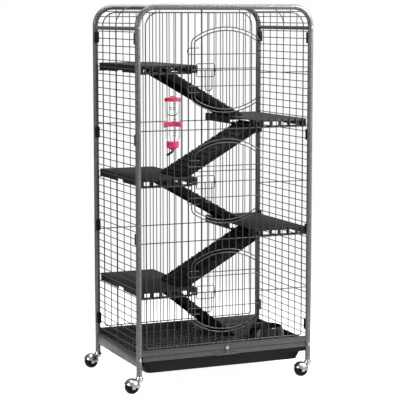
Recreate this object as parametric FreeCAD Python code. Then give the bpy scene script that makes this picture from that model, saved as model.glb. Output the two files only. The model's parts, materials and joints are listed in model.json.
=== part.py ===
import FreeCAD, Part
import math
import os

V = FreeCAD.Vector

# A cage on four casters: two bent tube frames joined by rails, wire panels, three doors,
# five shelves with ramps, a tray, a bottle and a bowl. Lengths in mm, +Z up, front is -Y,
# origin on the floor in the middle between the four posts.

# Tube frames
post_x = 323.0            # post axes, left and right of the middle
post_y = 210.0            # planes of the front and rear frames
tube_r = 9.5
tube_wall = 1.2
top_z = 1310.5            # axis of the top bar
bend_r = 66.0
post_foot_z = 59.0

# Rails between the frames
top_rail_z = 1237.5
top_rail_r = 6.5
saddle = 3.0              # how far a rail runs on before it is cut to the post
rail_t = 1.5
rail_foot_z = 90.0
rail_web_x = 328.5
rail_knee_z = 122.0
rail_top_z = 131.0
rail_top_x = 325.0
rail_lip_x = 319.0
tray_ledge_x = 306.0
grate_ledge_x = 296.0
grate_ledge_z = 106.5     # upper face
band_out_y = 215.0        # front and rear base rails
band_in_y = 205.0
front_band_foot_z = 125.5
band_top_z = 145.0
band_wall = 1.2

# Screws through the posts
screw_r = 3.0
screw_head_r = 5.5
screw_head_h = 3.0
screw_end_y = 190.0
screw_hole_r = 3.2
low_screw_z = 114.0
insert_in_y = 187.0
insert_out_y = 199.0
block_in_x = 317.5
block_top_z = 121.5

# Wire panels
outline_x = 295.0
outline_foot_z = 151.0
outline_top_z = 1291.0
outline_r = 2.0
outline_top_bend = 48.0
outline_foot_bend = 8.0
spaces = 23
wire_r = 1.5
cross_r = 1.7
cross_step = 2.6          # cross wires sit this far inside the upright wires
cross_top_z = 1086.0
level_step = 191.0
levels = 5
long_wires = (2, 8, 15, 21)
bite = 0.1                # how far a wire end is pressed into the tube it is welded to
side_wire_step = 25.0
side_wires = 44
side_foot_z = 151.0
side_edge_y = 196.0
side_wire_end = 2.0
side_layer = 2.7
roof_wires = 29

# Doors in the front panel
arch_apex = 145.0
arch_r = 213.0
arch_corner_r = 25.0
arch_wire_r = 1.9
door_top_drop = -11.0     # the cut cross wire lies this far from the middle of a door
doors = 3
door_inset = 11.0
door_frame_r = 2.0
door_y = 211.2
door_layer_y = 213.7
door_cross_z = 54.0
door_columns = 8
eye_r = 3.7
eye_turn_deg = 240.0
hook_x = 145.0
hook_back_x = 102.0
hook_rise = 21.0
hook_bend = 10.0
guide_out_x = 112.0
guide_in_x = 45.0
guide_half_z = 22.0
guide_bend = 6.0
ring_wire_r = 1.25
ring_r = 3.55
keeper_r = 4.4
split_x = 125.0

# Latch bolts, drawn back
bolt_r = 2.0
bolt_tip_x = 122.0
bolt_tail_x = 15.0
handle_out_x = 81.0
handle_in_x = 56.0
handle_drop = 69.0
handle_r = 1.6
handle_bend = 10.0

# Clips between the side panels and the posts
clip_zs = (1204.0, 865.0, 528.0, 186.0)
clip_half_h = 19.0
clip_half_x = 7.0
clip_in_y = 190.0
clip_out_y = 203.0

# Floor grate
grate_x = 310.5
grate_bar = 10.0
grate_front_y = 214.0
grate_rear_y = 203.0
grate_front_top_z = 124.0
grate_top_z = 118.0
mesh_t = 2.5
mesh_columns = 46
mesh_rows = 12
mesh_wire = 2.4

# Tray
tray_foot_z = 62.0
tray_rim_x = 312.0
tray_rim_top_z = 104.0
tray_rim_corner = 12.0
tray_basin_x = 303.0
tray_basin_front_y = 206.0
tray_basin_rear_y = 195.0
tray_basin_corner = 24.0
tray_foot_x = 289.0
tray_foot_inset_y = 10.0
tray_foot_corner = 18.0
tray_t = 2.0

# Lock tab on the front base rail
tab_x = 3.0
tab_z = 132.0
tab_head_r = 8.0
tab_stem = 6.0
tab_foot_z = 105.0
tab_bar_h = 8.0
tab_bar_left = 45.0
tab_bar_right = 42.0
tab_t = 1.5
tab_gap = 0.3
tab_screw_head_r = 6.0
tab_screw_head_h = 2.7
tab_screw_in = 7.0
running_gap = 0.05

# Shelves, drawn on the left side with the lip's lower edge at height 0
shelf_out_x = 310.0
shelf_in_x = 105.0
shelf_y = 207.8
shelf_h = 26.0
shelf_t = 3.0
lip_t = 2.5
windows = 6
window_w = 22.0
window_foot = 5.0
window_top = 18.0
notch_half = 82.0
notch_in_x = 125.0
side_notch_half = 25.0
side_notch_h = 9.0
ramp_mid_y = 90.0
bar_r = 3.5
bar_x = 108.8
bar_grip = 8.0

# Ramps
ramp_reach = 320.0        # from the bar to the foot
ramp_half = 79.0
ramp_t = 4.0
ramp_drop = 7.5           # slab's top below the bar's axis
ramp_tail = 34.0
flange_h = 22.0
flange_t = 3.0
tread_step = 30.0
tread_w = 4.0
tread_h = 3.0
tread_end = 12.0
sleeve_bore = 3.8
sleeve_r = 6.8
sleeve_w = 14.0
sleeve_y = 60.0
sleeve_slot = 2.6
foot_gap = 0.3

# Casters
stem_r = 4.0
socket_top_z = 84.0
stem_top_z = 82.0
race_r = 14.0
race_end_r = 9.0
race_mid_z = 49.0
race_foot_z = 38.0
race_gap = 0.3
wheel_r = 25.0
wheel_half = 17.0
trail = 27.0
hood_gap = 1.5
hood_t = 2.0
hood_low = 3.0            # the hood's open edge lies this far above the axle, on a slant
hood_tilt_deg = 17.0
ear_half = 5.5
axle_r = 3.0
axle_head_r = 4.5
axle_head_h = 1.5

# Water bottle
bottle_y = 243.0
bottle_r = 25.0
bottle_wall = 1.5
bottle_top_z = 1003.0
bottle_shoulder_z = 874.0
neck_r = 18.0
neck_top_z = 864.0
neck_foot_z = 848.0
bead_r = 26.8
bead_h = 3.0
lid_r = 27.0
lid_foot_z = 996.0
lid_top_z = 1008.0
nub_r = 10.0
nub_top_z = 1014.0
cap_r = 21.0
cap_foot_z = 843.0
cap_top_z = 862.0
cap_t = 3.0
cap_tip_r = 7.0
cap_tip_z = 833.0
band_foot_z = 909.0
band_head_z = 925.0
band_gap = 0.3
band_r = 28.5
band_mouth = 8.0          # the band is open this far in front of the bottle's axis
band_ear_x = 33.5
band_ear_t = 4.0
arm_half = 4.0
arm_front_y = 228.0
arm_back_y = 206.5
bottle_column = 3         # upright wire on the left of the bottle
bottle_shift = 6.5        # the bottle hangs this far left of the middle between two wires
sipper_r = 4.0
sipper_wall = 0.8
sipper_top_z = 852.0
sipper_knee_z = 827.5
sipper_bend = 7.0
sipper_tip_y = 196.0
sipper_tip_z = 811.5
ball_back = 1.0

# Bowl
bowl_x = 220.0
bowl_y = -80.0
bowl_foot_r = 70.0
bowl_rim_r = 57.0
bowl_h = 48.0
bowl_floor = 8.0
bowl_in_foot_r = 46.0
bowl_in_rim_r = 53.5

over = 5.0                # how far a cutting body runs past the piece it cuts

# Values that follow from the sizes above
column_step = 2 * outline_x / spaces
opening_x = 5 * column_step
level_zs = [cross_top_z - i * level_step for i in range(levels)]
door_zs = [cross_top_z - door_top_drop - 2 * i * level_step for i in range(doors)]
arch_low = arch_apex - arch_r
tray_ledge_z = rail_foot_z + rail_t
shelf_lift = cross_r
bottle_x = -outline_x + (bottle_column + 0.5) * column_step - bottle_shift


def rod(p, q, r):
    way = q.sub(p)
    return Part.makeCylinder(r, way.Length, p, way)


def box(x0, x1, y0, y1, z0, z1):
    return Part.makeBox(x1 - x0, y1 - y0, z1 - z0, V(x0, y0, z0))


def rounded(points, radii, closed=False):
    """Edges of a line through the points, each corner rounded by its radius."""
    n = len(points)
    ends = []
    for i in range(n):
        if not closed and i in (0, n - 1):
            ends.append((points[i], None, points[i]))
            continue
        a = points[i - 1].sub(points[i]).normalize()
        b = points[(i + 1) % n].sub(points[i]).normalize()
        half = a.getAngle(b) / 2
        out = a.add(b).normalize()
        run = radii[i] / math.tan(half)
        mid = points[i].add(out * (radii[i] / math.sin(half) - radii[i]))
        ends.append((points[i].add(a * run), mid, points[i].add(b * run)))
    edges = []
    for i in range(n):
        start, mid, end = ends[i]
        if mid is not None:
            edges.append(Part.Arc(start, mid, end).toShape())
        if closed or i < n - 1:
            edges.append(Part.makeLine(end, ends[(i + 1) % n][0]))
    return edges


def pipe(edges, r):
    """Round bar along a chain of edges."""
    first = edges[0]
    start = first.valueAt(first.FirstParameter)
    way = first.tangentAt(first.FirstParameter)
    ring = Part.Wire(Part.makeCircle(r, start, way))
    return Part.Wire(edges).makePipeShell([ring], True, False)


def prism(points, way):
    return Part.Face(Part.makePolygon(points + [points[0]])).extrude(way)


def joined(shapes):
    return shapes[0].multiFuse(shapes[1:])


def mirrored_x(shape):
    return shape.mirror(V(0, 0, 0), V(1, 0, 0))


def mirrored_y(shape):
    return shape.mirror(V(0, 0, 0), V(0, 1, 0))


def moved(shape, x, y, z):
    copy = shape.copy()
    copy.translate(V(x, y, z))
    return copy


def half_turned(shape):
    copy = shape.copy()
    copy.rotate(V(0, 0, 0), V(0, 0, 1), 180)
    return copy


def post_solids():
    return [rod(V(x, y, post_foot_z), V(x, y, top_z - bend_r), tube_r)
            for x in (-post_x, post_x) for y in (-post_y, post_y)]


def front_frame():
    """Bent tube with the holes for the four screws through its posts."""
    y = -post_y
    points = [V(-post_x, y, post_foot_z), V(-post_x, y, top_z), V(post_x, y, top_z), V(post_x, y, post_foot_z)]
    edges = rounded(points, [0, bend_r, bend_r, 0])
    tube = pipe(edges, tube_r).cut(pipe(edges, tube_r - tube_wall))
    holes = [rod(V(x, y - tube_r - over, z), V(x, y + tube_r + over, z), screw_hole_r)
             for x in (-post_x, post_x) for z in (top_rail_z, low_screw_z)]
    return tube.cut(holes)


def top_rail_right():
    reach = post_y - tube_r + saddle
    rail = rod(V(post_x, -reach, top_rail_z), V(post_x, reach, top_rail_z), top_rail_r)
    bore = rod(V(post_x, -reach, top_rail_z), V(post_x, reach, top_rail_z), top_rail_r - tube_wall)
    return rail.cut(bore).cut(post_solids())


def base_rail_right():
    """Folded channel: lower ledge for the tray, upper ledge for the grate, turned-in top edge."""
    reach = post_y - tube_r + saddle
    inner = rail_web_x - rail_t
    profile = [(tray_ledge_x, rail_foot_z), (rail_web_x, rail_foot_z), (rail_web_x, rail_knee_z),
               (rail_top_x, rail_top_z), (rail_lip_x, rail_top_z), (rail_lip_x, rail_top_z - rail_t),
               (rail_top_x - rail_t, rail_top_z - rail_t), (inner, rail_knee_z),
               (inner, grate_ledge_z), (grate_ledge_x, grate_ledge_z),
               (grate_ledge_x, grate_ledge_z - rail_t), (inner, grate_ledge_z - rail_t),
               (inner, tray_ledge_z), (tray_ledge_x, tray_ledge_z)]
    rail = prism([V(x, -reach, z) for x, z in profile], V(0, 2 * reach, 0))
    return rail.cut(post_solids())


def base_band(foot_z):
    """Box section between the front posts."""
    reach = post_x - tube_r + saddle
    bar = box(-reach, reach, -band_out_y, -band_in_y, foot_z, band_top_z)
    hollow = box(-reach, reach, -band_out_y + band_wall, -band_in_y - band_wall,
                 foot_z + band_wall, band_top_z - band_wall)
    return bar.cut(hollow).cut(post_solids())


def base_rail_front():
    hole = rod(V(tab_x, -band_out_y - over, tab_z), V(tab_x, -band_out_y + tab_screw_in, tab_z), screw_r)
    return base_band(front_band_foot_z).cut(hole)


def base_rail_rear():
    return mirrored_y(base_band(rail_foot_z))


def frame_screws():
    """Pan-head screws, one for each hole in the posts."""
    screws = []
    face = post_y + tube_r
    for x in (-post_x, post_x):
        for z in (top_rail_z, low_screw_z):
            shank = rod(V(x, -face, z), V(x, -screw_end_y, z), screw_r)
            head = rod(V(x, -face, z), V(x, -face - screw_head_h, z), screw_head_r)
            outer = [e for e in head.Edges if e.CenterOfMass.y < -face - screw_head_h / 2 and e.Closed]
            head = head.makeFillet(screw_head_h / 2, outer[:1])
            screw = shank.fuse(head)
            screws += [screw, mirrored_y(screw)]
    return Part.makeCompound(screws)


def rail_inserts():
    """Threaded plugs in the top rails and threaded blocks in the base rails."""
    inserts = []
    for x in (-post_x, post_x):
        plug = rod(V(x, -insert_out_y, top_rail_z), V(x, -insert_in_y, top_rail_z), top_rail_r - tube_wall)
        side = math.copysign(1, x)
        ends = sorted((side * block_in_x, side * (rail_web_x - rail_t)))
        block = box(ends[0], ends[1], -insert_out_y, -insert_in_y, grate_ledge_z, block_top_z)
        for body, z in ((plug, top_rail_z), (block, low_screw_z)):
            hole = rod(V(x, -insert_out_y - over, z), V(x, -insert_in_y + over, z), screw_r)
            body = body.cut(hole)
            inserts += [body, mirrored_y(body)]
    return Part.makeCompound(inserts)


def arch_height(x, inset):
    """Height of the loop above its middle, on the large arc or on the rounded corner beside it."""
    reach = arch_r - arch_corner_r
    cx = opening_x - arch_corner_r
    if abs(x) * reach <= (arch_r - inset) * cx:
        return arch_low + math.sqrt((arch_r - inset) ** 2 - x ** 2)
    rise = math.sqrt(reach ** 2 - cx ** 2)
    return arch_low + rise + math.sqrt((arch_corner_r - inset) ** 2 - (abs(x) - cx) ** 2)


def arch_edges(y, zc, inset):
    """Closed loop: straight sides, an arc above and below, rounded where they meet."""
    reach = arch_r - arch_corner_r
    cx = opening_x - arch_corner_r
    rise = math.sqrt(reach ** 2 - cx ** 2)
    cz = arch_low + rise
    small = arch_corner_r - inset
    w = opening_x - inset
    turn = math.atan2(rise, cx)
    mx = cx + small * math.cos(turn / 2)
    mz = cz + small * math.sin(turn / 2)
    tx = (arch_r - inset) * math.cos(turn)
    tz = arch_low + (arch_r - inset) * math.sin(turn)
    apex = arch_apex - inset

    def at(x, z):
        return V(x, y, zc + z)

    return [Part.makeLine(at(w, -cz), at(w, cz)),
            Part.Arc(at(w, cz), at(mx, mz), at(tx, tz)).toShape(),
            Part.Arc(at(tx, tz), at(0, apex), at(-tx, tz)).toShape(),
            Part.Arc(at(-tx, tz), at(-mx, mz), at(-w, cz)).toShape(),
            Part.makeLine(at(-w, cz), at(-w, -cz)),
            Part.Arc(at(-w, -cz), at(-mx, -mz), at(-tx, -tz)).toShape(),
            Part.Arc(at(-tx, -tz), at(0, -apex), at(tx, -tz)).toShape(),
            Part.Arc(at(tx, -tz), at(mx, -mz), at(w, -cz)).toShape()]


def outline(y):
    points = [V(-outline_x, y, outline_foot_z), V(-outline_x, y, outline_top_z),
              V(outline_x, y, outline_top_z), V(outline_x, y, outline_foot_z)]
    bends = [outline_foot_bend, outline_top_bend, outline_top_bend, outline_foot_bend]
    return pipe(rounded(points, bends, True), outline_r)


def column_ends(i):
    if i in long_wires:
        return band_top_z - bite, top_z - tube_r + bite
    return outline_foot_z, outline_top_z


def column_runs(i, with_doors):
    """Heights between which an upright wire is present."""
    x = -outline_x + i * column_step
    foot, top = column_ends(i)
    if not with_doors or abs(x) > opening_x:
        return [(foot, top)]
    gap = arch_height(x, 0)
    runs = []
    for zc in door_zs:
        runs.append((zc + gap, top))
        top = zc - gap
    return runs + [(foot, top)]


def wire_panel(with_doors):
    """Welded mat in the front plane; cross wires lie on its inner side and reach the posts."""
    y = -post_y
    wires = [outline(y)]
    for i in range(1, spaces):
        x = -outline_x + i * column_step
        wires += [rod(V(x, y, a), V(x, y, b), wire_r) for a, b in column_runs(i, with_doors)]
    inner = y + cross_step
    end = post_x - math.sqrt(tube_r ** 2 - (cross_step - cross_r) ** 2) + bite
    cut_levels = [zc + door_top_drop for zc in door_zs]
    for z in level_zs:
        if with_doors and min(abs(z - c) for c in cut_levels) < cross_r:
            stop = opening_x - arch_wire_r
            wires += [rod(V(s * end, inner, z), V(s * stop, inner, z), cross_r) for s in (-1, 1)]
        else:
            wires.append(rod(V(-end, inner, z), V(end, inner, z), cross_r))
    if with_doors:
        for zc in door_zs:
            wires.append(pipe(arch_edges(y, zc, 0), arch_wire_r))
    return joined(wires)


def bolt_y():
    return door_layer_y + ring_r


def latch_keepers():
    """Rings on the left side of each opening that take the tips of the latch bolts."""
    rings = []
    for zc in door_zs:
        ring = Part.makeTorus(keeper_r, wire_r, V(-opening_x, -bolt_y(), zc), V(1, 0, 0))
        reach = V(0, 0, keeper_r + over)
        side = V(-opening_x, -post_y, zc)
        rings.append(ring.cut(rod(side.sub(reach), side.add(reach), arch_wire_r)))
    return Part.makeCompound(rings)


def front_panel_parts():
    """The front mat taken apart at the sides of the openings."""
    panel = wire_panel(True)
    y0 = -post_y - 2 * over
    y1 = -post_y + 2 * over
    z0 = post_foot_z
    z1 = top_z
    reach = post_x
    left = panel.common(box(-reach, -split_x, y0, y1, z0, z1))
    middle = panel.common(box(-split_x, split_x, y0, y1, z0, z1))
    right = panel.common(box(split_x, reach, y0, y1, z0, z1))
    return left, middle, right


def side_panel_right():
    """Cross wires on the inner side of three uprights, from the base rail to the top rail."""
    wires = []
    head = top_rail_z - top_rail_r + bite
    for y in (-side_edge_y, 0, side_edge_y):
        wires.append(rod(V(post_x, y, rail_top_z - bite), V(post_x, y, head), cross_r))
    end = side_edge_y + side_wire_end
    x = post_x - side_layer
    for i in range(side_wires):
        z = side_foot_z + i * side_wire_step
        wires.append(rod(V(x, -end, z), V(x, end, z), wire_r))
    return joined(wires)


def roof_panel():
    """Three hoops that follow the bends of the frames, with straight wires under them."""
    wires = []
    foot = top_rail_z + top_rail_r - bite
    for y in (-side_edge_y, 0, side_edge_y):
        points = [V(-post_x, y, foot), V(-post_x, y, top_z), V(post_x, y, top_z), V(post_x, y, foot)]
        wires.append(pipe(rounded(points, [0, bend_r, bend_r, 0]), cross_r))
    flat = post_x - bend_r
    end = side_edge_y + side_wire_end
    for i in range(roof_wires):
        along = (i - (roof_wires - 1) / 2) * side_wire_step
        turn = max(abs(along) - flat, 0) / bend_r
        r = bend_r - side_layer
        x = min(abs(along), flat) + r * math.sin(turn)
        x = math.copysign(x, along)
        z = top_z - bend_r + r * math.cos(turn)
        wires.append(rod(V(x, -end, z), V(x, end, z), wire_r))
    return joined(wires)


def panel_clips():
    """Moulded blocks pushed over the edges of the side panels, against the posts."""
    clips = []
    taken = post_solids() + [side_panel_right()]
    for z in clip_zs:
        block = box(post_x - clip_half_x, post_x + clip_half_x, clip_in_y, clip_out_y,
                    z - clip_half_h, z + clip_half_h)
        clip = max(block.cut(taken).Solids, key=lambda s: s.Volume)
        clips += [clip, mirrored_x(clip), mirrored_y(clip), half_turned(clip)]
    return Part.makeCompound(clips)


def door(zc):
    """Arched wire door: uprights, cross wires that end in hinge eyes and stop hooks, latch guide."""
    y = -door_y
    layer = -door_layer_y
    wires = [pipe(arch_edges(y, zc, door_inset), door_frame_r)]
    for i in range(door_columns):
        x = (i - (door_columns - 1) / 2) * column_step
        h = arch_height(x, door_inset)
        wires.append(rod(V(x, y, zc - h), V(x, y, zc + h), wire_r))
    for s in (-1, 1):
        wires.append(door_cross_wire(zc, s))
    wires.append(rod(V(-column_step / 2, layer, zc), V(opening_x - door_inset, layer, zc), wire_r))
    corners = [V(-guide_out_x, layer, zc - guide_half_z), V(-guide_out_x, layer, zc + guide_half_z),
               V(-guide_in_x, layer, zc + guide_half_z), V(-guide_in_x, layer, zc - guide_half_z)]
    wires.append(pipe(rounded(corners, [guide_bend] * 4, True), wire_r))
    for x in (-guide_out_x, -guide_in_x):
        wires.append(Part.makeTorus(ring_r, ring_wire_r, V(x, -bolt_y(), zc), V(1, 0, 0)))
    return joined(wires)


def door_cross_wire(zc, side):
    layer = -door_layer_y
    z = zc + side * door_cross_z
    tip_z = z + side * hook_rise
    points = [V(-hook_back_x, layer, tip_z), V(-hook_x, layer, tip_z),
              V(-hook_x, layer, z), V(opening_x, layer, z)]
    edges = rounded(points, [0, hook_bend, hook_bend, 0])

    def on_eye(turn_deg):
        turn = math.radians(turn_deg - 90)
        return V(opening_x + eye_r * math.cos(turn), -post_y + eye_r * math.sin(turn), z)

    edges.append(Part.Arc(on_eye(0), on_eye(eye_turn_deg / 2), on_eye(eye_turn_deg)).toShape())
    return pipe(edges, wire_r)


def latch_bolt(zc):
    y = -bolt_y()
    bar = rod(V(-bolt_tip_x, y, zc), V(-bolt_tail_x, y, zc), bolt_r)
    foot = zc - handle_drop
    points = [V(-handle_out_x, y, zc), V(-handle_out_x, y, foot),
              V(-handle_in_x, y, foot), V(-handle_in_x, y, zc)]
    return bar.fuse(pipe(rounded(points, [0, handle_bend, handle_bend, 0]), handle_r))


def floor_grate():
    """Bars round the edge, a taller one at the front, and a mesh plate let into them."""
    foot = grate_ledge_z
    inner_x = grate_x - grate_bar
    front = box(-grate_x, grate_x, -grate_front_y, -grate_front_y + grate_bar, foot, grate_front_top_z)
    rear = box(-grate_x, grate_x, grate_rear_y - grate_bar, grate_rear_y, foot, grate_top_z)
    sides = [box(a, b, -grate_front_y, grate_rear_y, foot, grate_top_z)
             for a, b in ((-grate_x, -inner_x), (inner_x, grate_x))]
    return joined([front, rear, mesh_plate()] + sides)


def mesh_plate():
    x0 = -grate_x + grate_bar
    y0 = -grate_front_y + grate_bar
    y1 = grate_rear_y - grate_bar
    step_x = -2 * x0 / mesh_columns
    step_y = (y1 - y0) / mesh_rows
    z = grate_top_z - mesh_t
    plate = Part.Wire(Part.makePolygon([V(x0, y0, z), V(-x0, y0, z), V(-x0, y1, z), V(x0, y1, z),
                                        V(x0, y0, z)]))
    holes = []
    for i in range(mesh_columns):
        for j in range(mesh_rows):
            a = x0 + i * step_x + mesh_wire / 2
            b = x0 + (i + 1) * step_x - mesh_wire / 2
            c = y0 + j * step_y + mesh_wire / 2
            d = y0 + (j + 1) * step_y - mesh_wire / 2
            holes.append(Part.makePolygon([V(a, c, z), V(a, d, z), V(b, d, z), V(b, c, z), V(a, c, z)]))
    return Part.Face([plate] + holes).extrude(V(0, 0, mesh_t))


def round_rect(half_x, y0, y1, corner, z):
    points = [V(-half_x, y0, z), V(half_x, y0, z), V(half_x, y1, z), V(-half_x, y1, z)]
    return Part.Wire(rounded(points, [corner] * 4, True))


def tray_basin(inset, foot_z, top_z_here):
    foot = round_rect(tray_foot_x - inset, -tray_basin_front_y + tray_foot_inset_y + inset,
                      tray_basin_rear_y - tray_foot_inset_y - inset, tray_foot_corner - inset, foot_z)
    top = round_rect(tray_basin_x - inset, -tray_basin_front_y + inset, tray_basin_rear_y - inset,
                     tray_basin_corner - inset, top_z_here)
    return Part.makeLoft([foot, top], True, True)


def tray():
    """Shallow basin with a flange that rides on the ledges and an upturned rim."""
    def rim(inset, z0, z1):
        wire = round_rect(tray_rim_x - inset, -grate_front_y + inset, grate_rear_y - inset,
                          tray_rim_corner - inset, z0)
        return Part.Face(wire).extrude(V(0, 0, z1 - z0))

    outer = rim(0, tray_ledge_z, tray_rim_top_z)
    outer = outer.cut(rim(tray_t, tray_ledge_z + tray_t, tray_rim_top_z + over))
    body = outer.fuse(tray_basin(0, tray_foot_z, tray_ledge_z))
    return body.cut(tray_basin(tray_t, tray_foot_z + tray_t, tray_ledge_z + tray_t))


def lock_tab():
    y1 = -band_out_y - tab_gap
    y0 = y1 - tab_t
    head = rod(V(tab_x, y0, tab_z), V(tab_x, y1, tab_z), tab_head_r)
    stem = box(tab_x - tab_stem, tab_x + tab_stem, y0, y1, tab_foot_z, tab_z)
    bar = box(tab_x - tab_bar_left, tab_x + tab_bar_right, y0, y1, tab_foot_z, tab_foot_z + tab_bar_h)
    hole = rod(V(tab_x, y0 - over, tab_z), V(tab_x, y1 + over, tab_z), screw_r + running_gap)
    return joined([head, stem, bar]).cut(hole)


def lock_tab_screw():
    under = -band_out_y - tab_gap - tab_t - tab_gap
    shank = rod(V(tab_x, under, tab_z), V(tab_x, -band_out_y + tab_screw_in, tab_z), screw_r)
    head = rod(V(tab_x, under - tab_screw_head_h, tab_z), V(tab_x, under, tab_z), tab_screw_head_r)
    return shank.fuse(head)


def shelf():
    """Moulded shelf with hanging lips; a round bar replaces the inner lip where the ramp hooks on."""
    body = box(-shelf_out_x, -shelf_in_x, -shelf_y, shelf_y, 0, shelf_h)
    body = body.cut(box(-shelf_out_x + lip_t, -shelf_in_x - lip_t, -shelf_y + lip_t, shelf_y - lip_t,
                        -over, shelf_h - shelf_t))
    cuts = []
    step = (shelf_out_x - shelf_in_x) / windows
    for i in range(windows):
        x = -shelf_out_x + (i + 0.5) * step
        cuts.append(box(x - window_w / 2, x + window_w / 2, -shelf_y - over, shelf_y + over,
                        window_foot, window_top))
    cuts.append(box(-notch_in_x, -shelf_in_x + over, ramp_mid_y - notch_half, ramp_mid_y + notch_half,
                    -over, shelf_h - shelf_t))
    cuts.append(box(-shelf_out_x - over, -shelf_out_x + over, -side_notch_half, side_notch_half,
                    -over, side_notch_h))
    reach = notch_half + bar_grip
    bar = rod(V(-bar_x, ramp_mid_y - reach, bar_r), V(-bar_x, ramp_mid_y + reach, bar_r), bar_r)
    return body.cut(cuts).fuse(bar)


def ramp(fall):
    """Channel-shaped ramp on the left shelf's bar, drawn with the bar's axis at the origin."""
    low = ramp_drop + ramp_t
    length = math.sqrt(ramp_reach ** 2 - low ** 2)
    slope = math.asin(fall / ramp_reach) - math.atan2(low, length)
    parts = [box(-ramp_tail, length, -ramp_half, ramp_half, -low, -ramp_drop)]
    for a, b in ((-ramp_half, -ramp_half + flange_t), (ramp_half - flange_t, ramp_half)):
        parts.append(box(-ramp_tail, length, a, b, -low - flange_h, -ramp_drop))
    treads = int((length - tread_end) / tread_step)
    for i in range(treads):
        x = tread_end + (i + 0.5) * tread_step
        parts.append(box(x, x + tread_w, -ramp_half, ramp_half, -low, -ramp_drop + tread_h))
    for y in (-sleeve_y, sleeve_y):
        parts.append(ramp_sleeve(y))
    body = joined(parts).removeSplitter()
    body.rotate(V(0, 0, 0), V(0, 1, 0), math.degrees(slope))
    return body.cut(box(0, ramp_reach, -ramp_half - over, ramp_half + over, -2 * fall, -fall))


def ramp_sleeve(y):
    a = y - sleeve_w / 2
    b = y + sleeve_w / 2
    ring = rod(V(0, a, 0), V(0, b, 0), sleeve_r)
    foot = box(-sleeve_r, sleeve_r, a, b, -ramp_drop - ramp_t, 0)
    bore = rod(V(0, a - over, 0), V(0, b + over, 0), sleeve_bore)
    slot = box(-sleeve_slot, sleeve_slot, a - over, b + over, 0, sleeve_r + over)
    return ring.fuse(foot).cut([bore, slot])


def shelf_foot(level):
    return level_zs[level] + shelf_lift


def ramp_fall(level):
    """Height from a shelf's bar down to what its ramp stands on."""
    below = shelf_foot(level + 1) + shelf_h if level + 1 < levels else grate_top_z
    return shelf_foot(level) + bar_r - below - foot_gap


def shelf_at(level):
    body = moved(shelf(), 0, 0, shelf_foot(level))
    return half_turned(body) if level % 2 else body


def ramp_at(level):
    body = moved(ramp(ramp_fall(level)), -bar_x, ramp_mid_y, shelf_foot(level) + bar_r)
    return half_turned(body) if level % 2 else body


def caster_sockets():
    """Plugs pressed into the lower ends of the posts, bored for the stems."""
    plugs = []
    for x in (-post_x, post_x):
        for y in (-post_y, post_y):
            plug = rod(V(x, y, post_foot_z), V(x, y, socket_top_z), tube_r - tube_wall)
            bore = rod(V(x, y, post_foot_z - over), V(x, y, socket_top_z + over), stem_r + running_gap)
            plugs.append(plug.cut(bore))
    return Part.makeCompound(plugs)


def caster_hood():
    """Stem, race and a domed hood over the ball-shaped wheel, drawn with the stem on the Z axis."""
    middle = V(-trail, 0, wheel_r)
    room_r = wheel_r + hood_gap
    room = Part.makeSphere(room_r, middle)
    dome = Part.makeSphere(room_r + hood_t, middle)
    reach = 2 * wheel_r
    below = moved(box(-reach, reach, -reach, reach, -reach, hood_low), -trail, 0, wheel_r)
    below.rotate(middle, V(0, 1, 0), hood_tilt_deg)
    top = post_foot_z - race_gap
    cup = Part.makeCone(race_end_r, race_r, race_mid_z - race_foot_z, V(0, 0, race_foot_z), V(0, 0, 1))
    cover = Part.makeCone(race_r, race_end_r, top - race_mid_z, V(0, 0, race_mid_z), V(0, 0, 1))
    stem = rod(V(0, 0, race_foot_z), V(0, 0, stem_top_z), stem_r)
    hood = joined([dome.cut(below), cup, cover, stem]).cut(room)
    ears = [caster_ear(side).common(dome) for side in (-1, 1)]
    hole = rod(V(-trail, -reach, wheel_r), V(-trail, reach, wheel_r), axle_r)
    return joined([hood] + ears).cut(hole)


def caster_ear(side):
    """Flat lug inside the hood that holds one end of the axle."""
    ends = sorted((side * ear_in_y(), side * (ear_in_y() + hood_t)))
    top = math.sqrt((wheel_r + hood_gap + hood_t) ** 2 - ear_in_y() ** 2)
    return box(-trail - ear_half, -trail + ear_half, ends[0], ends[1], wheel_r - ear_half, wheel_r + top)


def ear_in_y():
    return wheel_half + hood_gap


def caster_axle():
    half = ear_in_y() + hood_t
    pin = rod(V(-trail, -half, wheel_r), V(-trail, half, wheel_r), axle_r)
    heads = [rod(V(-trail, s * half, wheel_r), V(-trail, s * (half + axle_head_h), wheel_r), axle_head_r)
             for s in (-1, 1)]
    return joined([pin] + heads)


def caster_wheel():
    """Ball with two flat sides, bored for the axle."""
    ball = Part.makeSphere(wheel_r, V(-trail, 0, wheel_r))
    reach = wheel_r + over
    slab = box(-trail - reach, -trail + reach, -wheel_half, wheel_half, -over, 2 * wheel_r + over)
    bore = rod(V(-trail, -reach, wheel_r), V(-trail, reach, wheel_r), axle_r + running_gap)
    return ball.common(slab).cut(bore)


def at_bottle(r, z0, z1):
    return rod(V(bottle_x, -bottle_y, z0), V(bottle_x, -bottle_y, z1), r)


def bottle_shape(inset):
    cone = Part.makeCone(neck_r - inset, bottle_r - inset, bottle_shoulder_z - neck_top_z,
                         V(bottle_x, -bottle_y, neck_top_z), V(0, 0, 1))
    return joined([at_bottle(bottle_r - inset, bottle_shoulder_z, bottle_top_z), cone,
                   at_bottle(neck_r - inset, neck_foot_z, neck_top_z)])


def bottle_body():
    """Clear bottle, neck down; its bead rests on the bracket."""
    body = bottle_shape(0).fuse(at_bottle(bead_r, band_head_z, band_head_z + bead_h))
    return body.cut(bottle_shape(bottle_wall))


def bottle_lid():
    lid = at_bottle(lid_r, lid_foot_z, lid_top_z).fuse(at_bottle(nub_r, lid_top_z, nub_top_z))
    return lid.cut(at_bottle(bottle_r, lid_foot_z - over, bottle_top_z))


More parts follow.
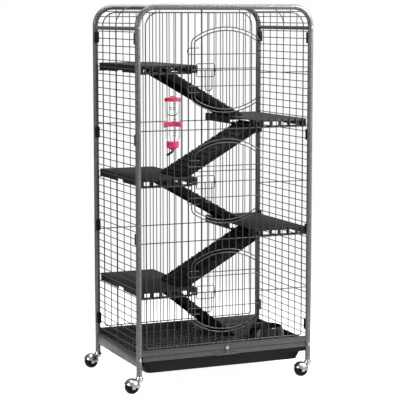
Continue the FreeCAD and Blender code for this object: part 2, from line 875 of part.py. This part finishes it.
def bottle_cap():
    """Screw cap that runs out in a cone, bored for the tube."""
    tip = V(bottle_x, -bottle_y, cap_tip_z)
    cone = Part.makeCone(cap_tip_r, cap_r, cap_foot_z - cap_tip_z, tip, V(0, 0, 1))
    cap = at_bottle(cap_r, cap_foot_z, cap_top_z).fuse(cone)
    cap = cap.cut(at_bottle(neck_r, neck_foot_z, cap_top_z + over))
    cap = cap.cut(at_bottle(neck_r - bottle_wall, cap_foot_z + cap_t, cap_top_z))
    return cap.cut(at_bottle(sipper_r, cap_tip_z - over, cap_top_z))


def bottle_bracket():
    """Open band behind the bottle with ears at its mouth and two arms that grip upright wires."""
    mouth = -bottle_y - band_mouth
    parts = [at_bottle(band_r, band_foot_z, band_head_z)]
    parts.append(box(bottle_x - band_ear_x, bottle_x + band_ear_x, mouth, mouth + band_ear_t,
                     band_foot_z, band_head_z))
    wires = []
    for i in (bottle_column, bottle_column + 1):
        x = -outline_x + i * column_step
        parts.append(box(x - arm_half, x + arm_half, -arm_front_y, -arm_back_y, band_foot_z, band_head_z))
        wires.append(rod(V(x, -post_y, band_foot_z - over), V(x, -post_y, band_head_z + over), wire_r))
    room = at_bottle(bottle_r + band_gap, band_foot_z - over, band_head_z + over)
    front = box(bottle_x - band_ear_x, bottle_x + band_ear_x, -bottle_y - band_r - over, mouth,
                band_foot_z - over, band_head_z + over)
    return joined(parts).cut([room, front] + wires)


def sipper_edges():
    points = [V(bottle_x, -bottle_y, sipper_top_z), V(bottle_x, -bottle_y, sipper_knee_z),
              V(bottle_x, -sipper_tip_y, sipper_tip_z)]
    return rounded(points, [0, sipper_bend, 0])


def sipper_tube():
    edges = sipper_edges()
    return pipe(edges, sipper_r).cut(pipe(edges, sipper_r - sipper_wall))


def sipper_ball():
    last = sipper_edges()[-1]
    end = last.valueAt(last.LastParameter)
    way = last.tangentAt(last.LastParameter)
    return Part.makeSphere(sipper_r - sipper_wall, end.sub(way * ball_back))


def bowl():
    """Weighted bowl, wider at the foot than at the rim."""
    at = V(bowl_x, bowl_y, grate_top_z)
    outer = Part.makeCone(bowl_foot_r, bowl_rim_r, bowl_h, at, V(0, 0, 1))
    foot = at.add(V(0, 0, bowl_floor))
    room = Part.makeCone(bowl_in_foot_r, bowl_in_rim_r, bowl_h - bowl_floor, foot, V(0, 0, 1))
    return outer.cut(room)


def all_parts():
    parts = {}
    parts["front_frame"] = front_frame()
    parts["rear_frame"] = mirrored_y(parts["front_frame"])
    parts["top_rail_right"] = top_rail_right()
    parts["top_rail_left"] = mirrored_x(parts["top_rail_right"])
    parts["base_rail_right"] = base_rail_right()
    parts["base_rail_left"] = mirrored_x(parts["base_rail_right"])
    parts["base_rail_front"] = base_rail_front()
    parts["base_rail_rear"] = base_rail_rear()
    parts["frame_screws"] = frame_screws()
    parts["rail_inserts"] = rail_inserts()
    left, middle, right = front_panel_parts()
    parts["front_panel_left"] = left
    parts["front_panel_middle"] = middle
    parts["front_panel_right"] = right
    parts["latch_keepers"] = latch_keepers()
    parts["rear_panel"] = mirrored_y(wire_panel(False))
    parts["side_panel_right"] = side_panel_right()
    parts["side_panel_left"] = mirrored_x(parts["side_panel_right"])
    parts["roof_panel"] = roof_panel()
    parts["panel_clips"] = panel_clips()
    parts["floor_grate"] = floor_grate()
    parts["tray"] = tray()
    parts["lock_tab"] = lock_tab()
    parts["lock_tab_screw"] = lock_tab_screw()
    first = door(door_zs[0])
    bolt = latch_bolt(door_zs[0])
    for i in range(doors):
        drop = door_zs[i] - door_zs[0]
        parts["door_%d" % (i + 1)] = moved(first, 0, 0, drop)
        parts["latch_bolt_%d" % (i + 1)] = moved(bolt, 0, 0, drop)
    for i in range(levels):
        parts["shelf_%d" % (i + 1)] = shelf_at(i)
        parts["ramp_%d" % (i + 1)] = ramp_at(i)
    parts["caster_sockets"] = caster_sockets()
    hood = caster_hood()
    axle = caster_axle()
    wheel = caster_wheel()
    for front, y in (("front", -post_y), ("rear", post_y)):
        for side, x in (("left", -post_x), ("right", post_x)):
            place = "%s_%s" % (front, side)
            parts["caster_hood_" + place] = moved(hood, x, y, 0)
            parts["caster_axle_" + place] = moved(axle, x, y, 0)
            parts["caster_wheel_" + place] = moved(wheel, x, y, 0)
    parts["bottle_bracket"] = bottle_bracket()
    parts["bottle_body"] = bottle_body()
    parts["bottle_lid"] = bottle_lid()
    parts["bottle_cap"] = bottle_cap()
    parts["sipper_tube"] = sipper_tube()
    parts["sipper_ball"] = sipper_ball()
    parts["bowl"] = bowl()
    return parts


os.makedirs("parts", exist_ok=True)
for name, shape in all_parts().items():
    shape.exportStep("parts/%s.step" % name)
    print(name, shape.isValid(), len(shape.Solids), round(shape.Volume))
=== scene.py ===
import json
import math

import bpy
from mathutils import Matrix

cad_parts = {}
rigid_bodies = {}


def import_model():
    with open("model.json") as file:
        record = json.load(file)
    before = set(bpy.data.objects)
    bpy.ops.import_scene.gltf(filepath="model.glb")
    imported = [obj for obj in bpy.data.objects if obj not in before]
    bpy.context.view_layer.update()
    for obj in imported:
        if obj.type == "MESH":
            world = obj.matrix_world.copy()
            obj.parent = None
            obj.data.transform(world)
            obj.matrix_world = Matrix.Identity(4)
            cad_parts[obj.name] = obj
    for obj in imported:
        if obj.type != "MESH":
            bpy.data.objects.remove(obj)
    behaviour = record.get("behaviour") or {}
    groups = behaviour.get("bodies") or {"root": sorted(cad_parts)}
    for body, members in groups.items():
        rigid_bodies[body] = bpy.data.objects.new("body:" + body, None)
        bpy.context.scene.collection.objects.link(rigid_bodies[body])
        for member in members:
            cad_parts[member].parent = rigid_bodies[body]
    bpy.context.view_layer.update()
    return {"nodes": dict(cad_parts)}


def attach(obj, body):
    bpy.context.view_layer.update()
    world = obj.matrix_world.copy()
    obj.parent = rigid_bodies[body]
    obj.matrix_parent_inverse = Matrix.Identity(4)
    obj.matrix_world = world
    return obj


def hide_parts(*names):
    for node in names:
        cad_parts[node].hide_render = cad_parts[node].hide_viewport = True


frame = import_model()
nodes = frame["nodes"]


# Stage: a white table lit from below, a soft light close by on the upper right, a weaker one further out
# on the left and one overhead, in a white room. The picture is shown without a film curve.
def linear(code):
    """sRGB hex to linear red, green, blue and full alpha."""
    parts = [int(code[i:i + 2], 16) / 255 for i in (1, 3, 5)]
    return tuple(c / 12.92 if c <= 0.04045 else ((c + 0.055) / 1.055) ** 2.4 for c in parts) + (1.0,)


def add(tree, kind, links, values, **settings):
    """One node: settings are its own choices, values its unlinked sockets, links its linked ones."""
    node = tree.nodes.new(kind)
    for key, value in settings.items():
        setattr(node, key, value)
    for key, value in values.items():
        node.inputs[key].default_value = value
    for key, source in links.items():
        tree.links.new(node.inputs[key], source)
    return node


def started(name):
    """A new material, its node tree and its surface shader."""
    material = bpy.data.materials.new(name)
    material.use_nodes = True
    return material, material.node_tree, material.node_tree.nodes["Principled BSDF"]


bpy.context.scene.view_settings.view_transform = "Standard"
table_size = 8
table_drop = 0.0004
bpy.ops.object.select_all(action="DESELECT")
bpy.ops.mesh.primitive_plane_add(size=table_size, location=(0, 0, -table_drop))
floor = bpy.context.object
floor.name = "floor"

# Opal acrylic over lamps: it glows evenly, so the cage leaves hardly any shadow on it. Away from the
# cage the table fades into the backdrop.
acrylic, tree, shader = started("lit_white_acrylic")
glow_radius = 0.7
fade_radius = 2.2
place = add(tree, "ShaderNodeTexCoord", {}, {}).outputs["Object"]
reach = add(tree, "ShaderNodeVectorMath", {0: place}, {}, operation="LENGTH")
fade = add(tree, "ShaderNodeMapRange", {"Value": reach.outputs["Value"]},
           {"From Min": glow_radius, "From Max": fade_radius, "To Min": 1.0, "To Max": 0.0},
           interpolation_type="SMOOTHSTEP")
tree.links.new(shader.inputs["Alpha"], fade.outputs["Result"])
shader.inputs["Base Color"].default_value = linear("#8c8c8c")
shader.inputs["Emission Color"].default_value = linear("#ffffff")
shader.inputs["Emission Strength"].default_value = 0.97
shader.inputs["Roughness"].default_value = 0.9
floor.data.materials.append(acrylic)

# The room is bright in front on the right and dim on the left and behind, where only the backdrop
# shows white, to the eye and through clear pieces.
bright_way = (0.75, -0.6, 0.25)
world = bpy.data.worlds.new("white_room")
world.use_nodes = True
tree = world.node_tree
toward = add(tree, "ShaderNodeTexCoord", {}, {}).outputs["Generated"]
lit_side = add(tree, "ShaderNodeVectorMath", {0: toward}, {1: bright_way}, operation="DOT_PRODUCT")
dim = add(tree, "ShaderNodeMapRange", {"Value": lit_side.outputs["Value"]},
          {"From Min": -0.6, "From Max": 0.9, "To Min": 0.2, "To Max": 0.8})
room = add(tree, "ShaderNodeBackground", {"Strength": dim.outputs["Result"]}, {"Color": linear("#ffffff")})
backdrop = add(tree, "ShaderNodeBackground", {}, {"Color": linear("#ffffff"), "Strength": 1.0})
ray = add(tree, "ShaderNodeLightPath", {}, {}).outputs
seen = add(tree, "ShaderNodeMath", {0: ray["Is Camera Ray"], 1: ray["Is Transmission Ray"]}, {},
           operation="MAXIMUM")
both = add(tree, "ShaderNodeMixShader",
           {0: seen.outputs[0], 1: room.outputs[0], 2: backdrop.outputs[0]}, {})
tree.links.new(tree.nodes["World Output"].inputs["Surface"], both.outputs[0])
bpy.context.scene.world = world

# The lamps: place in metres, turn in degrees, side of the square in metres, power in watts.
for name, place, turn, size, power in (
        ("key_softbox", (1.4, -1.1, 1.9), (58.6, 0, 52.4), 0.8, 95),
        ("fill_softbox", (-4.2, -1.0, 2.4), (68.5, 0, -76.6), 1.6, 90),
        ("top_softbox", (0.2, 0.4, 3.6), (0, 0, 0), 2.4, 150)):
    bpy.ops.object.light_add(type="AREA", location=place, rotation=[math.radians(a) for a in turn])
    lamp = bpy.context.object
    lamp.name = name
    lamp.data.shape = "SQUARE"
    lamp.data.size = size
    lamp.data.energy = power
    lamp.visible_camera = False

# The camera stands in front on the left, level with the roof, and looks slightly down.
camera_place = (-2.1166, -4.8776, 1.2839)
camera_down = 7.061
camera_right = 23.395
sensor_mm = 36
focal_length_px = 1496.5
picture_width_px = 400
bpy.ops.object.camera_add(location=camera_place,
                          rotation=(math.radians(90 - camera_down), 0, math.radians(-camera_right)))
camera = bpy.context.object
camera.data.sensor_width = sensor_mm
camera.data.lens = sensor_mm * focal_length_px / picture_width_px
camera.data.clip_end = 200
bpy.context.scene.camera = camera

# Tube frames and rails: 19 mm steel tube bent cold, thinner tube and folded sheet between the posts.
# The hammer-finish powder coat flows into shallow dimples with a silver flake in them.
mm_per_m = 1000


def hammer_finish(name, pit, crest, flake, dimple_mm):
    """Powder coat with dark pits, lighter crests between them, bright specks and an uneven half gloss."""
    flake_mm = 1.0
    cloud_mm = 35
    dimple_depth = 0.0006
    material, tree, shader = started(name)
    place = add(tree, "ShaderNodeTexCoord", {}, {}).outputs["Object"]
    cells = add(tree, "ShaderNodeTexVoronoi", {"Vector": place},
                {"Scale": mm_per_m / dimple_mm, "Smoothness": 0.7}, feature="SMOOTH_F1")
    tint = add(tree, "ShaderNodeValToRGB", {"Fac": cells.outputs["Distance"]}, {})
    tint.color_ramp.elements[0].color = linear(pit)
    tint.color_ramp.elements[1].color = linear(crest)
    tint.color_ramp.elements[0].position = 0.15
    tint.color_ramp.elements[1].position = 0.7
    # The flake is about 0.1 mm; it is drawn ten times as coarse so that it shows.
    grit = add(tree, "ShaderNodeTexNoise", {"Vector": place}, {"Scale": mm_per_m / flake_mm, "Detail": 2})
    spark = add(tree, "ShaderNodeMapRange", {"Value": grit.outputs["Fac"]},
                {"From Min": 0.58, "From Max": 0.72, "To Max": 0.55})
    speckled = add(tree, "ShaderNodeMix", {"Factor": spark.outputs["Result"], 6: tint.outputs["Color"]},
                   {7: linear(flake)}, data_type="RGBA")
    cloud = add(tree, "ShaderNodeTexNoise", {"Vector": place}, {"Scale": mm_per_m / cloud_mm, "Detail": 3})
    gloss = add(tree, "ShaderNodeMapRange", {"Value": cloud.outputs["Fac"]}, {"To Min": 0.3, "To Max": 0.46})
    dents = add(tree, "ShaderNodeBump", {"Height": cells.outputs["Distance"]},
                {"Strength": 0.4, "Distance": dimple_depth})
    tree.links.new(shader.inputs["Base Color"], speckled.outputs[2])
    tree.links.new(shader.inputs["Roughness"], gloss.outputs["Result"])
    tree.links.new(shader.inputs["Normal"], dents.outputs["Normal"])
    shader.inputs["Metallic"].default_value = 0.4
    return material


def coat(material, *names):
    """Gives carried-over pieces their finish."""
    for name in names:
        nodes[name].data.materials.clear()
        nodes[name].data.materials.append(material)


def picked(piece):
    """Makes a piece the only one that the next operators act on."""
    bpy.ops.object.select_all(action="DESELECT")
    bpy.context.view_layer.objects.active = piece
    piece.select_set(True)


def copied(mesh, name):
    """A new piece with its own copy of a mesh, picked."""
    piece = bpy.data.objects.new(name, mesh.copy())
    bpy.context.scene.collection.objects.link(piece)
    picked(piece)
    return piece


def edges_broken(piece, edge_mm, sharp_deg):
    """Rounds the sharp edges of the picked piece and shades the rest smooth."""
    bevel = piece.modifiers.new("broken_edges", "BEVEL")
    bevel.width = edge_mm / mm_per_m
    bevel.segments = 2
    bevel.limit_method = "ANGLE"
    bevel.angle_limit = math.radians(sharp_deg)
    bpy.ops.object.modifier_apply(modifier="broken_edges")
    bpy.ops.object.shade_smooth_by_angle(angle=math.radians(sharp_deg))


def finished(node, body, material, edge_mm):
    """A welded copy of a piece with its sharp edges broken; it stands for the carried-over one."""
    weld_gap = 0.00001
    flat_deg = 1
    sharp_deg = 40
    piece = copied(nodes[node].data, node + "_finished")
    bpy.ops.mesh.customdata_custom_splitnormals_clear()
    bpy.ops.object.mode_set(mode="EDIT")
    bpy.ops.mesh.select_all(action="SELECT")
    bpy.ops.mesh.remove_doubles(threshold=weld_gap)
    bpy.ops.mesh.dissolve_limited(angle_limit=math.radians(flat_deg))
    bpy.ops.object.mode_set(mode="OBJECT")
    edges_broken(piece, edge_mm, sharp_deg)
    piece.data.materials.clear()
    piece.data.materials.append(material)
    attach(piece, body)
    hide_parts(node)
    return piece


hammered_grey = hammer_finish("hammer_finish_powder_coat", "#363738", "#6c6d6c", "#b4b5b4", 3.0)
coat(hammered_grey, "front_frame", "rear_frame", "top_rail_left", "top_rail_right")
# The base rails get the frame's coat drawn darker: painted shade, for the lower parts getting less light.
shaded_coat_grey = hammer_finish("hammer_finish_painted_shade", "#262728", "#4a4b4a", "#868786", 3.0)
for node in ("base_rail_left", "base_rail_right", "base_rail_front", "base_rail_rear"):
    finished(node, "cage", shaded_coat_grey, 0.6)


# Screws and threaded inserts: pan heads with a cross recess, nickel under chrome, driven through the
# posts into plain steel inserts in the rail ends.
def plated(name, colour, clean, hazy):
    """Bright metal: it mirrors the room, softly where it has hazed."""
    haze_mm = 12
    material, tree, shader = started(name)
    place = add(tree, "ShaderNodeTexCoord", {}, {}).outputs["Object"]
    haze = add(tree, "ShaderNodeTexNoise", {"Vector": place}, {"Scale": mm_per_m / haze_mm, "Detail": 4})
    gloss = add(tree, "ShaderNodeMapRange", {"Value": haze.outputs["Fac"]}, {"To Min": clean, "To Max": hazy})
    tree.links.new(shader.inputs["Roughness"], gloss.outputs["Result"])
    shader.inputs["Base Color"].default_value = linear(colour)
    shader.inputs["Metallic"].default_value = 1.0
    return material


def cross_recess(piece, heads):
    """Cuts a cross into screw heads; each is given by its points and is cut on its outer face."""
    slot_long = 0.0058
    slot_wide = 0.0013
    slot_deep = 0.0026
    bpy.ops.object.select_all(action="DESELECT")
    for head in heads:
        x, y, z = [(min(p[k] for p in head) + max(p[k] for p in head)) / 2 for k in range(3)]
        y = max((p[1] for p in head), key=abs)
        for width, height in ((slot_long, slot_wide), (slot_wide, slot_long)):
            bpy.ops.mesh.primitive_cube_add(size=1, location=(x, y, z))
            bpy.ops.transform.resize(value=(width, slot_deep, height), center_override=(x, y, z))
    cutter = bpy.context.object
    for other in list(bpy.context.scene.objects):
        if other.type == "MESH" and other.name.startswith("Cube"):
            other.select_set(True)
    bpy.ops.object.join()
    bpy.ops.object.transform_apply(location=True, rotation=True, scale=True)
    cut = piece.modifiers.new("recess", "BOOLEAN")
    cut.operation = "DIFFERENCE"
    cut.object = cutter
    cut.use_self = True
    bpy.context.view_layer.objects.active = piece
    bpy.ops.object.modifier_apply(modifier="recess")
    bpy.data.objects.remove(cutter, do_unlink=True)


chrome = plated("chrome_plate", "#a6a8ab", 0.24, 0.34)
steel = plated("bright_steel", "#b9babb", 0.24, 0.36)
coat(steel, "rail_inserts")
screws = finished("frame_screws", "cage", chrome, 0.3)
# One screw sits in each of the cage's eight corners.
half_height = 0.66
points = [v.co.copy() for v in screws.data.vertices]
corners = [(right, back, high) for right in (False, True) for back in (False, True) for high in (False, True)]
cross_recess(screws, [[p for p in points if (p.x > 0, p.y > 0, p.z > half_height) == corner]
                      for corner in corners])

# Wire panels: drawn steel wire, spot-welded into mats and powder coated. The coat is the frame's,
# darker and thinner on the wire, so its dimples are finer.
wire_grey = hammer_finish("powder_coated_wire", "#282928", "#3e3f3e", "#666766", 1.5)
coat(wire_grey, "front_panel_left", "front_panel_middle", "front_panel_right", "rear_panel",
     "side_panel_left", "side_panel_right", "roof_panel", "latch_keepers")


# Panel clips: small black polypropylene blocks, moulded, pushed over the panel's edge wire and against
# the post.
def moulded(name, colour, worn_colour, grain_mm, rough, worn_rough, sheen):
    """Moulded plastic: the tool's spark-eroded grain as a fine bump, and slightly polished patches."""
    wear_mm = 45
    grain_depth = 0.0003
    material, tree, shader = started(name)
    place = add(tree, "ShaderNodeTexCoord", {}, {}).outputs["Object"]
    grain = add(tree, "ShaderNodeTexNoise", {"Vector": place}, {"Scale": mm_per_m / grain_mm, "Detail": 3})
    wear = add(tree, "ShaderNodeTexNoise", {"Vector": place},
               {"Scale": mm_per_m / wear_mm, "Detail": 6, "Roughness": 0.65})
    tint = add(tree, "ShaderNodeValToRGB", {"Fac": wear.outputs["Fac"]}, {})
    tint.color_ramp.elements[0].color = linear(colour)
    tint.color_ramp.elements[1].color = linear(worn_colour)
    tint.color_ramp.elements[0].position = 0.42
    tint.color_ramp.elements[1].position = 0.75
    gloss = add(tree, "ShaderNodeMapRange", {"Value": wear.outputs["Fac"]},
                {"From Min": 0.3, "From Max": 0.7, "To Min": rough, "To Max": worn_rough})
    skin = add(tree, "ShaderNodeBump", {"Height": grain.outputs["Fac"]},
               {"Strength": 0.3, "Distance": grain_depth})
    tree.links.new(shader.inputs["Base Color"], tint.outputs["Color"])
    tree.links.new(shader.inputs["Roughness"], gloss.outputs["Result"])
    tree.links.new(shader.inputs["Normal"], skin.outputs["Normal"])
    shader.inputs["IOR"].default_value = 1.49
    shader.inputs["Specular IOR Level"].default_value = sheen
    return material


# Polypropylene off a grained tool: deep black and dull. The grain is about 0.1 mm; it is drawn as 1 mm
# so that it shows.
black_grained = moulded("grained_black_polypropylene", "#080808", "#111112", 1.0, 0.55, 0.68, 0.14)
finished("panel_clips", "cage", black_grained, 0.8)

# Floor grate: a frame of square-edged steel bars round a close flat mesh, laid on the base rails' upper
# ledges and coated like them; the mesh has taken on a lighter, duller coat.
# The grate's bars take the same darker coat, which is painted shade.
grate = finished("floor_grate", "cage", shaded_coat_grey, 0.25)
mesh_grey = hammer_finish("dull_coated_mesh", "#3c3d3e", "#585a5b", "#7a7c7d", 1.5)
grate.data.materials.append(mesh_grey)
bar_width = 0.0101
side = max(v.co.x for v in grate.data.vertices) - bar_width
front = min(v.co.y for v in grate.data.vertices) + bar_width
rear = max(v.co.y for v in grate.data.vertices) - bar_width
for face in grate.data.polygons:
    if abs(face.center.x) < side and front < face.center.y < rear:
        face.material_index = 1

# Doors and latch bolts: arched wire doors that hang on curled eyes, each with a sliding bolt of the same
# coated wire.
coat(wire_grey, "door_1", "door_2", "door_3", "latch_bolt_1", "latch_bolt_2", "latch_bolt_3")

# Tray and lock tab: a deep black polypropylene tray that slides on the rails' lower ledges, and the small
# flat steel tab on a screw that keeps it from coming out by itself.
finished("tray", "tray", black_grained, 0.8)
# The lock tab takes the darker coat too, which is painted shade.
finished("lock_tab", "lock_tab", shaded_coat_grey, 0.4)
tab_screw = finished("lock_tab_screw", "cage", chrome, 0.5)
cross_recess(tab_screw, [[v.co.copy() for v in tab_screw.data.vertices]])

# Shelves: black injection mouldings with hanging lips and a row of windows, laid on the cross wires.
# It is the ramps' plastic drawn greyer and with more sheen: painted light, for the light that falls on the
# shelves' lips.
shelf_black_painted_light = moulded("black_polypropylene_painted_light", "#0c0c0c", "#161617", 1.0, 0.55, 0.68, 0.3)
for i in range(1, 6):
    finished("shelf_%d" % i, "cage", shelf_black_painted_light, 0.8)

# Ramps: black channel-shaped polypropylene mouldings with cross treads. Sleeves at the upper end snap
# over the bar of each shelf, and the ramp swings on it.
for i in range(1, 6):
    finished("ramp_%d" % i, "ramp_%d" % i, black_grained, 0.6)

# Casters: a ball-shaped wheel of hard black nylon on a steel axle under a pressed and chromed hood, whose
# stem turns in a black plug in the post. The nylon has a soft, tight highlight.
wheel_black = moulded("hard_black_nylon", "#070707", "#0c0c0d", 1.2, 0.28, 0.4, 0.08)
coat(black_grained, "caster_sockets")
for place in ("front_left", "front_right", "rear_left", "rear_right"):
    coat(wheel_black, "caster_wheel_" + place)
    coat(chrome, "caster_hood_" + place, "caster_axle_" + place)


# Water bottle: a clear blown body with printed measure lines, ribbed pink lid and cap, a pink bracket
# that grips the panel's wires, and a slanted steel sipper tube with a ball in its tip.
def middle(node):
    """Middle of a carried-over piece as seen from above."""
    xs = [v.co.x for v in nodes[node].data.vertices]
    ys = [v.co.y for v in nodes[node].data.vertices]
    return (min(xs) + max(xs)) / 2, (min(ys) + max(ys)) / 2


def turned(name, x, y, rings, sides):
    """A turned form: a disc drawn out ring by ring, each ring a height and a radius in mm."""
    bpy.ops.object.select_all(action="DESELECT")
    z, r = rings[0]
    bpy.ops.mesh.primitive_circle_add(vertices=sides, radius=r / mm_per_m, fill_type="NGON",
                                      location=(0, 0, 0))
    piece = bpy.context.object
    piece.name = name
    bpy.ops.object.mode_set(mode="EDIT")
    bpy.ops.mesh.select_all(action="SELECT")
    bpy.ops.transform.translate(value=(x, y, z / mm_per_m))
    for (z0, r0), (z1, r1) in zip(rings, rings[1:]):
        bpy.ops.mesh.extrude_region_move(TRANSFORM_OT_translate={"value": (0, 0, (z1 - z0) / mm_per_m)})
        bpy.ops.transform.resize(value=(r1 / r0, r1 / r0, 1), center_override=(x, y, z1 / mm_per_m))
    bpy.ops.mesh.select_all(action="SELECT")
    bpy.ops.mesh.normals_make_consistent(inside=False)
    bpy.ops.object.mode_set(mode="OBJECT")
    return piece


def ribbed(piece, x, y, low_mm, high_mm):
    """Sinks every second side face between two heights, which leaves grip ribs between the grooves."""
    groove_mm = 0.5
    upright = 0.2
    wall = [f for f in piece.data.polygons
            if low_mm / mm_per_m < f.center.z < high_mm / mm_per_m and abs(f.normal.z) < upright]
    wall.sort(key=lambda f: math.atan2(f.center.y - y, f.center.x - x))
    for f in piece.data.polygons:
        f.select = False
    for f in wall[::2]:
        f.select = True
    bpy.ops.object.mode_set(mode="EDIT")
    bpy.ops.mesh.select_mode(type="FACE")
    bpy.ops.mesh.extrude_faces_move(TRANSFORM_OT_shrink_fatten={"value": -groove_mm / mm_per_m})
    bpy.ops.object.mode_set(mode="OBJECT")


def rounded_off(piece, body, material, edge_mm):
    """Breaks the edges, smooths, and lets the piece ride on its body."""
    sharp_deg = 30
    picked(piece)
    edges_broken(piece, edge_mm, sharp_deg)
    piece.data.materials.append(material)
    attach(piece, body)


# Polystyrene dyed pink and moulded: glossy, its colour slightly uneven where it flowed into the tool.
pink, tree, shader = started("glossy_pink_polystyrene")
flow_mm = 18
place = add(tree, "ShaderNodeTexCoord", {}, {}).outputs["Object"]
flow = add(tree, "ShaderNodeTexNoise", {"Vector": place}, {"Scale": mm_per_m / flow_mm, "Detail": 3})
tint = add(tree, "ShaderNodeValToRGB", {"Fac": flow.outputs["Fac"]}, {})
tint.color_ramp.elements[0].color = linear("#b5184f")
tint.color_ramp.elements[1].color = linear("#cb346a")
tree.links.new(shader.inputs["Base Color"], tint.outputs["Color"])
shader.inputs["Roughness"].default_value = 0.2
shader.inputs["IOR"].default_value = 1.59
shader.inputs["Coat Weight"].default_value = 0.3

# Clear polystyrene, blown: the wall waves a little. Its index is far below the real 1.59, so that the
# wall stays as clear as a thinner one and its edges don't turn dark.
clear, tree, shader = started("clear_blown_polystyrene")
wave_mm = 25
wave_depth = 0.001
place = add(tree, "ShaderNodeTexCoord", {}, {}).outputs["Object"]
flow = add(tree, "ShaderNodeTexNoise", {"Vector": place}, {"Scale": mm_per_m / wave_mm, "Detail": 2})
sway = add(tree, "ShaderNodeBump", {"Height": flow.outputs["Fac"]},
           {"Strength": 0.15, "Distance": wave_depth})
tree.links.new(shader.inputs["Normal"], sway.outputs["Normal"])
shader.inputs["Base Color"].default_value = linear("#ffffff")
shader.inputs["Roughness"].default_value = 0.05
shader.inputs["IOR"].default_value = 1.06
shader.inputs["Transmission Weight"].default_value = 1.0

bottle_x, bottle_y = middle("bottle_body")
bottle_sides = 64
body = turned("bottle_body_blown", bottle_x, bottle_y,
              [(849, 15), (849, 17.9), (863, 18), (867, 19.5), (871, 22.6), (875, 24.6), (879, 25), (924, 25),
               (925, 26.6), (927.4, 26.6), (928.4, 25), (1002.5, 25), (1002.5, 23.6), (879, 23.6), (872, 21),
               (866, 17.2), (862, 16.6), (850, 16.5), (850, 15)], bottle_sides)
rounded_off(body, "bottle", clear, 0.25)
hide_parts("bottle_body")
lid = turned("bottle_lid_moulded", bottle_x, bottle_y,
             [(996, 25.2), (996, 26.6), (996.8, 27), (1005, 27), (1007.2, 25.6), (1008, 23), (1008.4, 11),
              (1010.5, 8), (1013, 5.6), (1014, 3), (1014, 0.5)], bottle_sides)
ribbed(lid, bottle_x, bottle_y, 998, 1004)
rounded_off(lid, "bottle", pink, 0.3)
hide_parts("bottle_lid")
cap = turned("bottle_cap_moulded", bottle_x, bottle_y,
             [(833, 4.2), (833, 6.2), (834, 7.2), (842.4, 20.4), (843.6, 21), (861, 21), (862, 20.2),
              (862, 18.1)], bottle_sides)
ribbed(cap, bottle_x, bottle_y, 845, 860)
rounded_off(cap, "bottle", pink, 0.3)
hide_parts("bottle_cap")
finished("bottle_bracket", "cage", pink, 0.8)
# The sipper's steel is drawn dark grey: painted shade, for the dark it mirrors.
coat(plated("stainless_tube_painted_shade", "#4d4e50", 0.25, 0.4), "sipper_tube")
coat(steel, "sipper_ball")

# Measure marks: a column of ink bars printed on the bottle's front and a short one beside it, none
# behind the band. Printing ink dries dark grey and matt, thinner in places.
ink, tree, shader = started("dark_printed_ink")
patch_mm = 2
place = add(tree, "ShaderNodeTexCoord", {}, {}).outputs["Object"]
flow = add(tree, "ShaderNodeTexNoise", {"Vector": place}, {"Scale": mm_per_m / patch_mm, "Detail": 2})
tint = add(tree, "ShaderNodeValToRGB", {"Fac": flow.outputs["Fac"]}, {})
tint.color_ramp.elements[0].color = linear("#3d4146")
tint.color_ramp.elements[1].color = linear("#5a5f64")
tree.links.new(shader.inputs["Base Color"], tint.outputs["Color"])
shader.inputs["Roughness"].default_value = 0.5

# One bar is cut from a ring the bottle's size, thickened to a film, and copied.
ring_radius = 0.0252
bar_height = 0.003
bar_half_width = 0.0035
film_thickness = 0.00012
bpy.ops.object.select_all(action="DESELECT")
bpy.ops.mesh.primitive_cylinder_add(vertices=96, radius=ring_radius, depth=bar_height,
                                    end_fill_type="NOTHING", location=(0, 0, 0))
bar = bpy.context.object
bpy.ops.object.mode_set(mode="EDIT")
for edge, away in (((-bar_half_width, 0, 0), (-1, 0, 0)), ((bar_half_width, 0, 0), (1, 0, 0)),
                   ((0, 0, 0), (0, 1, 0))):
    bpy.ops.mesh.select_all(action="SELECT")
    bpy.ops.mesh.bisect(plane_co=edge, plane_no=away, clear_outer=True)
bpy.ops.object.mode_set(mode="OBJECT")
film = bar.modifiers.new("ink_film", "SOLIDIFY")
film.thickness = film_thickness
bpy.ops.object.modifier_apply(modifier="ink_film")
bar.data.materials.append(ink)
main_turn = 11
side_turn = 37
marks = [(z, main_turn) for z in (989, 977, 971, 949, 937, 894, 884)] + [(z, side_turn) for z in (977, 971)]
for i, (z, turn) in enumerate(marks):
    line = copied(bar.data, "measure_line_%d" % i)
    bpy.ops.object.mode_set(mode="EDIT")
    bpy.ops.mesh.select_all(action="SELECT")
    bpy.ops.transform.rotate(value=math.radians(turn), orient_axis="Z", center_override=(0, 0, 0))
    bpy.ops.transform.translate(value=(bottle_x, bottle_y, z / mm_per_m))
    bpy.ops.object.mode_set(mode="OBJECT")
    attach(line, "bottle")
bpy.data.objects.remove(bar, do_unlink=True)

# Feed bowl: one heavy black moulding with a rolled rim, wide at the foot so that it can't be tipped.
# Melamine comes out of a polished tool deep black, with sharp reflections.
glossy_black = moulded("glossy_black_melamine", "#0b0b0c", "#131314", 2.0, 0.1, 0.2, 0.5)
bowl_sides = 96
bowl = turned("bowl_moulded", *middle("bowl"),
              [(118, 50), (118, 67.5), (119, 69.4), (121, 70), (124, 69.4), (158, 59.4), (161, 58.2),
               (164, 57), (165.6, 55.8), (166, 54.4), (165.2, 53.4), (162, 52.8), (150, 50.6), (134, 47.4),
               (129.5, 45.6), (127, 42), (126.2, 36), (126, 20), (126, 1)], bowl_sides)
rounded_off(bowl, "bowl", glossy_black, 0.3)
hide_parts("bowl")
